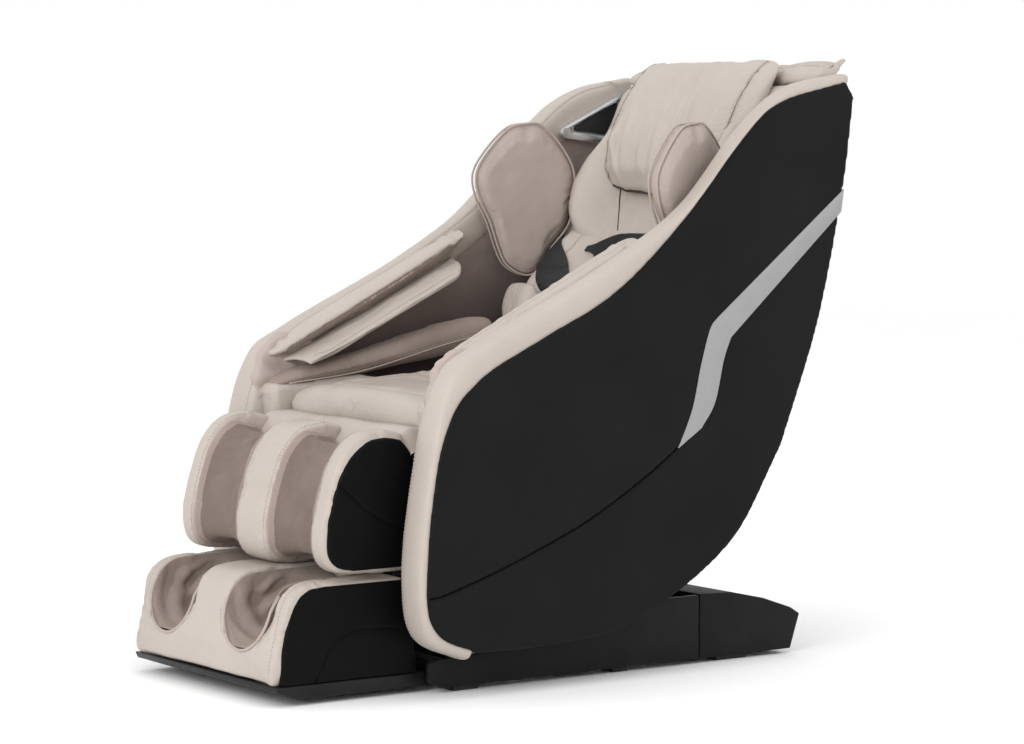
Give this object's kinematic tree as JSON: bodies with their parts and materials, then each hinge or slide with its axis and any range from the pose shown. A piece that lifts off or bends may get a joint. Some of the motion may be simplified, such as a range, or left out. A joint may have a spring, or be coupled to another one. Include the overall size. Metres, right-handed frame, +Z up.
{
  "type": "massage chair",
  "caption": "Reclining massage chair: padded seat shell with side panels, backrest with roller carriage, raising calf rest and foot box on a floor base.",
  "frame": {"origin": "on the floor under the middle of the chair's overall box", "axes": "+Z up, -Y the way the sitter faces, +X the sitter's left-hand side"},
  "size_m": [0.762, 1.3072, 1.18],
  "materials": {
    "steel": "satin black powder coat",
    "bright_steel": "turned",
    "rubber": "matte",
    "black_plastic": "fine texture",
    "roller_plastic": "smooth",
    "black_leather": "satin synthetic leather",
    "light_leather": "soft synthetic leather",
    "taupe_fabric": "fine ribbed fabric",
    "silver_trim": "silver paint",
    "speaker_mesh": "perforated"
  },
  "bodies": {
    "base": {"base_frame": "steel", "base_feet": "rubber", "base_skirts": "black_plastic", "base_rear_cover": "black_plastic", "power_supply_box": "black_plastic", "air_pump": "black_plastic", "power_inlet": "black_plastic"},
    "switch": {"power_switch": "black_plastic"},
    "seat": {"side_panel_left": "black_leather", "side_panel_right": "black_leather", "trim_strips": "silver_trim", "arm_liner_left": "light_leather", "arm_liner_right": "light_leather", "arm_bolsters": "taupe_fabric", "arm_flaps": "light_leather", "armrest_pads": "taupe_fabric", "speaker_bezels": "silver_trim", "speaker_grilles": "speaker_mesh", "seat_frame": "steel", "seat_crossmembers": "steel", "hinge_pins": "bright_steel", "seat_cushion": "light_leather", "belly_cover": "black_plastic"},
    "backrest": {"back_frame": "steel", "guide_rails": "steel", "back_shell": "black_plastic", "back_cushion": "light_leather", "waist_panels": "black_leather", "top_flap": "light_leather", "shoulder_brackets": "black_plastic"},
    "pillow": {"head_pillow": "light_leather"},
    "shoulder_left": {"shoulder_pad_left": "light_leather"},
    "shoulder_right": {"shoulder_pad_right": "light_leather"},
    "carriage": {"carriage_frame": "steel", "knead_motor": "black_plastic"},
    "lower_wheelset": {"lower_wheels": "bright_steel"},
    "upper_wheelset": {"upper_wheels": "bright_steel"},
    "arm_left": {"massage_arm_left": "steel"},
    "arm_right": {"massage_arm_right": "steel"},
    "roller_upper_left": {"upper_roller_left": "roller_plastic"},
    "roller_lower_left": {"lower_roller_left": "roller_plastic"},
    "roller_upper_right": {"upper_roller_right": "roller_plastic"},
    "roller_lower_right": {"lower_roller_right": "roller_plastic"},
    "calf_rest": {"calf_frame": "steel", "calf_pads": "light_leather", "calf_liners": "taupe_fabric", "calf_side_panels": "black_leather"},
    "foot_box": {"foot_frame": "steel", "foot_tray": "black_plastic", "foot_cushion": "light_leather", "foot_liners": "taupe_fabric", "foot_side_panels": "black_leather"},
    "sole_front": {"foot_roller_front": "roller_plastic"},
    "sole_rear": {"foot_roller_rear": "roller_plastic"},
    "tilt_motor": {"tilt_drive_motor": "black_plastic"},
    "tilt_rod": {"tilt_drive_rod": "bright_steel"},
    "recline_motor": {"back_drive_motor": "black_plastic"},
    "recline_rod": {"back_drive_rod": "bright_steel"},
    "leg_motor": {"leg_drive_motor": "black_plastic"},
    "leg_rod": {"leg_drive_rod": "bright_steel"}
  },
  "joints": [
    {"name": "shell_tilt", "type": "hinge", "parent": "base", "child": "seat", "pos_m": [0, 0.06, 0.17], "axis": [-1, 0, 0], "range_deg": [0, 25]},
    {"name": "back_recline", "type": "hinge", "parent": "seat", "child": "backrest", "pos_m": [0, 0.215, 0.43], "axis": [-1, 0, 0], "range_deg": [0, 35]},
    {"name": "leg_raise", "type": "hinge", "parent": "seat", "child": "calf_rest", "pos_m": [0, -0.345, 0.47], "axis": [-1, 0, 0], "range_deg": [0, 80]},
    {"name": "foot_extend", "type": "slide", "parent": "calf_rest", "child": "foot_box", "axis": [0, 0, -1], "range_m": [0, 0.1201]},
    {"name": "power_rocker", "type": "hinge", "parent": "base", "child": "switch", "pos_m": [0.076, 0.5245, 0.039], "axis": [1, 0, 0], "range_deg": [-8, 8]},
    {"name": "pillow_flip", "type": "hinge", "parent": "backrest", "child": "pillow", "pos_m": [0, 0.568, 1.179], "axis": [-1, 0, 0], "range_deg": [0, 100]},
    {"name": "shoulder_squeeze_left", "type": "hinge", "parent": "backrest", "child": "shoulder_left", "pos_m": [0.252, 0.384, 0.9], "axis": [0, 0, -1], "range_deg": [0, 12]},
    {"name": "shoulder_squeeze_right", "type": "hinge", "parent": "backrest", "child": "shoulder_right", "pos_m": [-0.252, 0.384, 0.9], "axis": [0, 0, 1], "range_deg": [0, 12]},
    {"name": "carriage_travel", "type": "slide", "parent": "backrest", "child": "carriage", "axis": [0, 0.4695, 0.8829], "range_m": [-0.165, 0.115]},
    {"name": "lower_wheels_roll", "type": "hinge", "parent": "carriage", "child": "lower_wheelset", "pos_m": [0, 0.43028, 0.70039], "axis": [1, 0, 0], "range_deg": [-1000, 1000]},
    {"name": "upper_wheels_roll", "type": "hinge", "parent": "carriage", "child": "upper_wheelset", "pos_m": [0, 0.4791, 0.79222], "axis": [1, 0, 0], "range_deg": [-1000, 1000]},
    {"name": "knead_left", "type": "hinge", "parent": "carriage", "child": "arm_left", "pos_m": [0, 0.4335, 0.75757], "axis": [1, 0, 0], "range_deg": [-8, 8]},
    {"name": "knead_right", "type": "hinge", "parent": "carriage", "child": "arm_right", "pos_m": [0, 0.4335, 0.75757], "axis": [1, 0, 0], "range_deg": [-8, 8]},
    {"name": "upper_roller_spin_left", "type": "hinge", "parent": "arm_left", "child": "roller_upper_left", "pos_m": [0, 0.46422, 0.8409], "axis": [1, 0, 0], "continuous": true},
    {"name": "lower_roller_spin_left", "type": "hinge", "parent": "arm_left", "child": "roller_lower_left", "pos_m": [0, 0.38159, 0.68551], "axis": [1, 0, 0], "continuous": true},
    {"name": "upper_roller_spin_right", "type": "hinge", "parent": "arm_right", "child": "roller_upper_right", "pos_m": [0, 0.46422, 0.8409], "axis": [1, 0, 0], "continuous": true},
    {"name": "lower_roller_spin_right", "type": "hinge", "parent": "arm_right", "child": "roller_lower_right", "pos_m": [0, 0.38159, 0.68551], "axis": [1, 0, 0], "continuous": true},
    {"name": "sole_roller_spin", "type": "hinge", "parent": "foot_box", "child": "sole_front", "pos_m": [0, -0.56, 0.054], "axis": [1, 0, 0], "continuous": true},
    {"name": "sole_roller_spin_rear", "type": "hinge", "parent": "foot_box", "child": "sole_rear", "pos_m": [0, -0.478, 0.054], "axis": [1, 0, 0], "continuous": true},
    {"name": "tilt_drive_swing", "type": "hinge", "parent": "base", "child": "tilt_motor", "pos_m": [0, -0.19, 0.085], "axis": [-1, 0, 0], "range_deg": [0, 15.98]},
    {"name": "tilt_drive_stroke", "type": "slide", "parent": "tilt_motor", "child": "tilt_rod", "axis": [0, -0.0696, 0.9976], "range_m": [0, 0.10599]},
    {"name": "recline_drive_swing", "type": "hinge", "parent": "seat", "child": "recline_motor", "pos_m": [0, 0.12, 0.262], "axis": [-1, 0, 0], "range_deg": [0, 12.88]},
    {"name": "recline_drive_stroke", "type": "slide", "parent": "recline_motor", "child": "recline_rod", "axis": [0, 0.6697, 0.7426], "range_m": [-0.03641, 0]},
    {"name": "leg_drive_swing", "type": "hinge", "parent": "seat", "child": "leg_motor", "pos_m": [0, -0.04, 0.25], "axis": [-1, 0, 0], "range_deg": [-0.826, 0]},
    {"name": "leg_drive_stroke", "type": "slide", "parent": "leg_motor", "child": "leg_rod", "axis": [0, -0.8512, 0.5249], "range_m": [0, 0.0451]}
  ],
  "couplings": [
    {"joint": "foot_extend", "follows": "leg_raise", "m_per_rad": 0.085944},
    {"joint": "lower_wheels_roll", "follows": "carriage_travel", "rad_per_m": -90.909},
    {"joint": "upper_wheels_roll", "follows": "carriage_travel", "rad_per_m": -90.909},
    {"joint": "knead_right", "follows": "knead_left", "ratio": -1},
    {"joint": "sole_roller_spin_rear", "follows": "sole_roller_spin", "ratio": 1},
    {"joint": "tilt_drive_swing", "follows": "shell_tilt", "ratio": 0.6372},
    {"joint": "tilt_drive_stroke", "follows": "shell_tilt", "m_per_rad": 0.24267},
    {"joint": "recline_drive_swing", "follows": "back_recline", "ratio": 0.3666},
    {"joint": "recline_drive_stroke", "follows": "back_recline", "m_per_rad": -0.059444},
    {"joint": "leg_drive_swing", "follows": "leg_raise", "ratio": -0.0097},
    {"joint": "leg_drive_stroke", "follows": "leg_raise", "m_per_rad": 0.032229}
  ]
}
